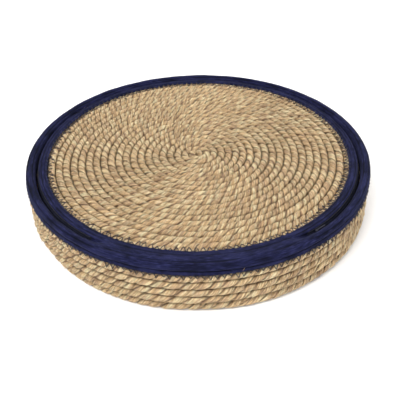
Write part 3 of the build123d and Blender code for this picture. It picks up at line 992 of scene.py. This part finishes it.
def soft_copy(name, node, shrink, voxel, frames, pressure, cap):
    """A cushion from its CAD solid: shrunk and remeshed, then, if it has frames, blown up as cloth.

    Shrink is in metres, voxel and cap in millimetres; cap is how far a point may move.
    """
    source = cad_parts[node]
    made = bpy.data.objects.new(name, source.data.copy())
    bpy.context.scene.collection.objects.link(made)
    points = np.array([v.co for v in made.data.vertices], float).reshape(-1, 3)
    middle = (points.max(0) + points.min(0)) / 2
    points = middle + (points - middle) * (1 - shrink / (points.max(0) - middle))
    made.data.vertices.foreach_set("co", points.astype(np.float32).ravel())
    remesh = made.modifiers.new("remesh", "REMESH")
    remesh.mode = "VOXEL"
    remesh.voxel_size = voxel * MM
    remesh.use_smooth_shade = True
    apply_modifiers(made)
    if frames:
        rest = vertex_points(made)
        cloth = made.modifiers.new("cloth", "CLOTH")
        cloth.settings.quality = 4
        cloth.settings.use_pressure = True
        cloth.settings.uniform_pressure_force = pressure
        cloth.settings.tension_stiffness = 12
        cloth.settings.bending_stiffness = 0.4
        cloth.settings.effector_weights.gravity = 0
        cloth.point_cache.frame_end = frames
        for number in range(1, frames + 1):
            bpy.context.scene.frame_set(number)
        apply_modifiers(made)
        bpy.context.scene.frame_set(1)
        move = vertex_points(made) - rest
        far = np.linalg.norm(move, axis=1, keepdims=True)
        moved = rest + move * np.minimum(1, cap * MM / np.maximum(far, 1e-9))
        made.data.vertices.foreach_set("co", moved.astype(np.float32).ravel())
    return made


def vertex_points(made):
    flat = np.zeros(len(made.data.vertices) * 3, np.float32)
    made.data.vertices.foreach_get("co", flat)
    return flat.reshape(-1, 3).astype(float)


def apply_modifiers(made):
    graph = bpy.context.evaluated_depsgraph_get()
    mesh = bpy.data.meshes.new_from_object(made.evaluated_get(graph))
    made.modifiers.clear()
    made.data = mesh
    mesh.shade_smooth()


CORE_BULGE = 0.006


def crowned(made, rise, edge_drop):
    """Lifts the middle of the core's top, and draws its sides in a little above and below their middle."""
    points = vertex_points(made) / MM
    far = np.hypot(points[:, 0], points[:, 1])
    level = (points[:, 2] - CORE_LOW) / (CORE_HIGH - CORE_LOW)
    lift = rise * (1 - (far / CORE_RADIUS) ** 2) - edge_drop * eased(far, CORE_RADIUS - 45, CORE_RADIUS)
    points[:, 2] += lift * eased(level, 0.1, 1.0)
    at_side = eased(far, CORE_RADIUS - 30, CORE_RADIUS)
    bulge = 1 + CORE_BULGE * np.cos((level - 0.5) * math.pi) * at_side
    points[:, :2] *= bulge[:, None] / (1 + CORE_BULGE)
    made.data.vertices.foreach_set("co", (points * MM).astype(np.float32).ravel())


VOXEL = 4.5
foam_piece = soft_copy("foam_disc", "foam_core", 0.0022, VOXEL, 0, 0, 0)
crowned(foam_piece, 0.6, 1.6)
foam_piece.data.materials.append(foam)
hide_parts("foam_core")
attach(foam_piece, "cover")

liner = soft_copy("liner_bag", "foam_core", 0.0004, VOXEL, frames=18, pressure=3.0, cap=1.2)
crowned(liner, 0.6, 1.4)
liner.data.materials.append(calico)
smooth = liner.modifiers.new("smooth", "SUBSURF")
smooth.levels = smooth.render_levels = 1
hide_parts("core_liner")
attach(liner, "cover")


# ---- floor, light and camera ----
def floor_material():
    s = Surface("floor", Roughness=0.9, Specular_IOR_Level=0.1)
    place = s.node("TexCoord").outputs["Object"]
    return s.finish(s.ramp(s.noise(place, scale=3), (0.4, (0.96, 0.96, 0.96)), (0.6, (0.98, 0.98, 0.98))))


bpy.ops.mesh.primitive_plane_add(size=14, location=(0, 0, -0.0002))
floor = bpy.context.object
floor.name = "floor"
floor.data.materials.append(floor_material())
floor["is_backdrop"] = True

scene = bpy.context.scene
scene.view_settings.view_transform = "Standard"
scene.view_settings.look = "None"
world = bpy.data.worlds.new("studio")
scene.world = world
world.use_nodes = True
world.node_tree.nodes["Background"].inputs["Color"].default_value = (1, 1, 1, 1)
world.node_tree.nodes["Background"].inputs["Strength"].default_value = 0.73


def softbox(name, place, target, size, power):
    """A square light that points at a target."""
    light = bpy.data.lights.new(name, "AREA")
    light.shape = "SQUARE"
    light.size = size
    light.energy = power
    made = bpy.data.objects.new(name, light)
    scene.collection.objects.link(made)
    made.location = place
    made.rotation_euler = (Vector(target) - Vector(place)).to_track_quat("-Z", "Y").to_euler()


softbox("key", (-0.8, -1.0, 1.7), (0, 0, 0.03), 1.2, 39)
softbox("fill", (1.5, -0.5, 1.0), (0, 0, 0.03), 0.9, 8)
softbox("back", (0.5, 1.3, 1.5), (0, 0, 0.05), 1.2, 12)

DISTANCE = 0.8
ELEVATION = math.radians(35.0)
ROLL = math.radians(-1.2)
SENSOR = 36
LENS = 59.526
aim = Vector((0, 0, 0.030))
back = Vector((0, -math.cos(ELEVATION), math.sin(ELEVATION)))
camera_data = bpy.data.cameras.new("camera")
camera_data.sensor_width = SENSOR
camera_data.lens = LENS
camera_data.shift_x = 0.00475
camera_data.shift_y = -0.06675
camera_data.clip_start = 0.01
camera = bpy.data.objects.new("camera", camera_data)
scene.collection.objects.link(camera)
camera.location = aim + back * DISTANCE
facing = (-back).to_track_quat("-Z", "Y").to_matrix()
roll = Matrix.Rotation(ROLL, 3, "Z")
camera.rotation_euler = (facing @ roll).to_euler()
scene.camera = camera

low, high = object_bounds()
